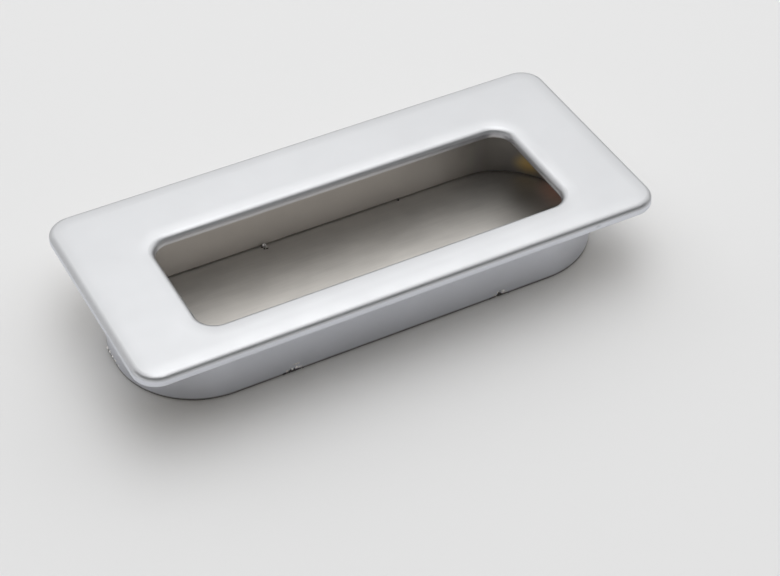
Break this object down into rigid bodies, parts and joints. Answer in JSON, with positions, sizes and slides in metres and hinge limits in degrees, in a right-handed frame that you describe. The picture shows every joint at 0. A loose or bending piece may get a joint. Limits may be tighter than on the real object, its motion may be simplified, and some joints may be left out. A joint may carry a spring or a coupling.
{
  "type": "recessed cabinet pull",
  "caption": "Flush recessed cabinet pull: satin rectangular face plate with a finger mouth over a shallow round-ended cup, undercut behind the mouth for the fingertips.",
  "frame": {"origin": "centre of the cup's underside, where the pull rests when it lies face up", "axes": "+X along the pull's length, +Y towards the gripping edge at the back of the mouth, +Z out of the door through the face plate"},
  "size_m": [0.11, 0.05, 0.018],
  "materials": {
    "satin_casting": "satin matt plating on a zinc die-casting",
    "satin_sheet": "satin matt plating on a stamped sheet"
  },
  "bodies": {
    "root": {"body": "satin_casting", "floor_plate": "satin_sheet"}
  },
  "joints": []
}
